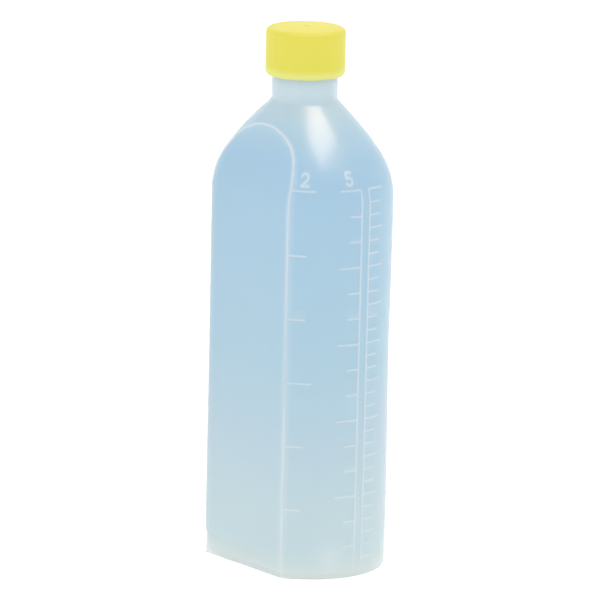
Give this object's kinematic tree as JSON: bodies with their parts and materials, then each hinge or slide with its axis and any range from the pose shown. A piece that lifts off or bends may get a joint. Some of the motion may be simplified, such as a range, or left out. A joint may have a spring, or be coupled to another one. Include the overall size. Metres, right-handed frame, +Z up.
{
  "type": "screw-cap dispensing bottle",
  "caption": "Flattened-oval translucent squeeze bottle with arched flat label panels, embossed dose graduations and a smooth yellow screw cap with a sealing disc.",
  "frame": {"origin": "on the floor, under the neck axis, at the middle of the base", "axes": "+Z up along the neck axis, -Y out of the front label panel, X along the wide side of the bottle"},
  "size_m": [0.0766, 0.0526, 0.2102],
  "materials": {
    "ldpe_body": "milky translucent polyethylene, satin",
    "cap_yellow": "soft-gloss injection-moulded polypropylene",
    "liner_foam": "matt foamed polyethylene"
  },
  "bodies": {
    "bottle": {"bottle": "ldpe_body"},
    "liner": {"cap_liner": "liner_foam"},
    "cap": {"screw_cap": "cap_yellow"}
  },
  "joints": [
    {"name": "cap_lift", "type": "slide", "parent": "bottle", "child": "liner", "axis": [0, 0, 1], "range_m": [0, 0.01694]},
    {"name": "cap_turn", "type": "hinge", "parent": "liner", "child": "cap", "pos_m": [0, 0, 0.1915], "axis": [0, 0, 1], "range_deg": [0, 1440]}
  ],
  "couplings": [
    {"joint": "cap_lift", "follows": "cap_turn", "m_per_rad": 0.00067376}
  ]
}
